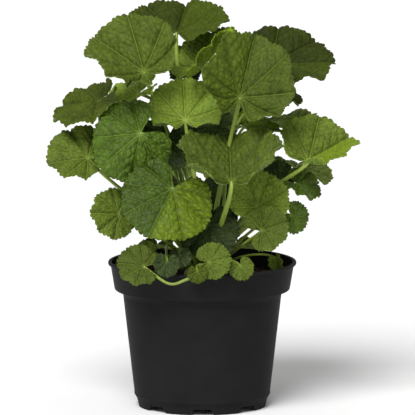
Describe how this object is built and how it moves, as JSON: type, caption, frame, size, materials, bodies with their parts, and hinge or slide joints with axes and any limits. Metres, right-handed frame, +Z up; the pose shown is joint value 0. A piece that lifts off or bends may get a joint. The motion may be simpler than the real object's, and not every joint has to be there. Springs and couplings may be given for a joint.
{
  "type": "potted hollyhock",
  "caption": "Young hollyhock with round lobed leaves on long stalks, growing in a black plastic nursery pot filled with potting soil.",
  "frame": {"origin": "on the pot's axis, at the level its foot stands on; the spread of the leaves is centred on it to within 3 mm", "axes": "+Z up along the pot's axis; -Y is the plant's front, where the small low leaves hang over the rim; +X is to the right seen from the front"},
  "size_m": [0.3138, 0.2214, 0.4011],
  "materials": {
    "pot_plastic": "matte",
    "peat": "rough",
    "stalk": "satin",
    "leaf": "satin"
  },
  "bodies": {
    "root": {"pot": "pot_plastic", "potting_soil": "peat", "crown_and_stalks": "stalk", "leaf_top_back": "leaf", "leaf_top_left": "leaf", "leaf_far_left_dark": "leaf", "leaf_left_edge": "leaf", "leaf_centre_upper": "leaf", "leaf_left_glossy": "leaf", "leaf_far_left_round": "leaf", "leaf_low_left_kidney": "leaf", "leaf_front_droop": "leaf", "leaf_butterfly": "leaf", "leaf_right_upper": "leaf", "leaf_top_fold": "leaf", "leaf_top_right_dark": "leaf", "leaf_behind_tip": "leaf", "leaf_right_big": "leaf", "leaf_right_below": "leaf", "leaf_right_middle": "leaf", "leaf_right_front": "leaf", "leaf_right_dark": "leaf", "leaf_rim_kidney": "leaf", "leaf_rim_right": "leaf", "leaf_rim_left": "leaf", "leaf_rim_small": "leaf", "leaf_rim_round": "leaf", "leaf_rim_grey": "leaf", "leaf_young": "leaf", "leaf_low_dark": "leaf", "leaf_inner_dark": "leaf", "leaf_edge_right": "leaf", "leaf_top_inner": "leaf", "leaf_rim_tiny": "leaf", "leaf_right_dip": "leaf", "leaf_inner_left": "leaf", "leaf_inner_low_left": "leaf", "leaf_inner_low_right": "leaf", "leaf_back_left_high": "leaf", "leaf_back_high": "leaf", "leaf_back_right_high": "leaf", "leaf_back_left": "leaf", "leaf_back_mid_left": "leaf", "leaf_back_mid_right": "leaf", "leaf_back_right": "leaf", "leaf_back_low_left": "leaf", "leaf_back_low": "leaf", "leaf_back_low_right": "leaf", "leaf_back_rim_left": "leaf", "leaf_back_rim_right": "leaf"}
  },
  "joints": []
}
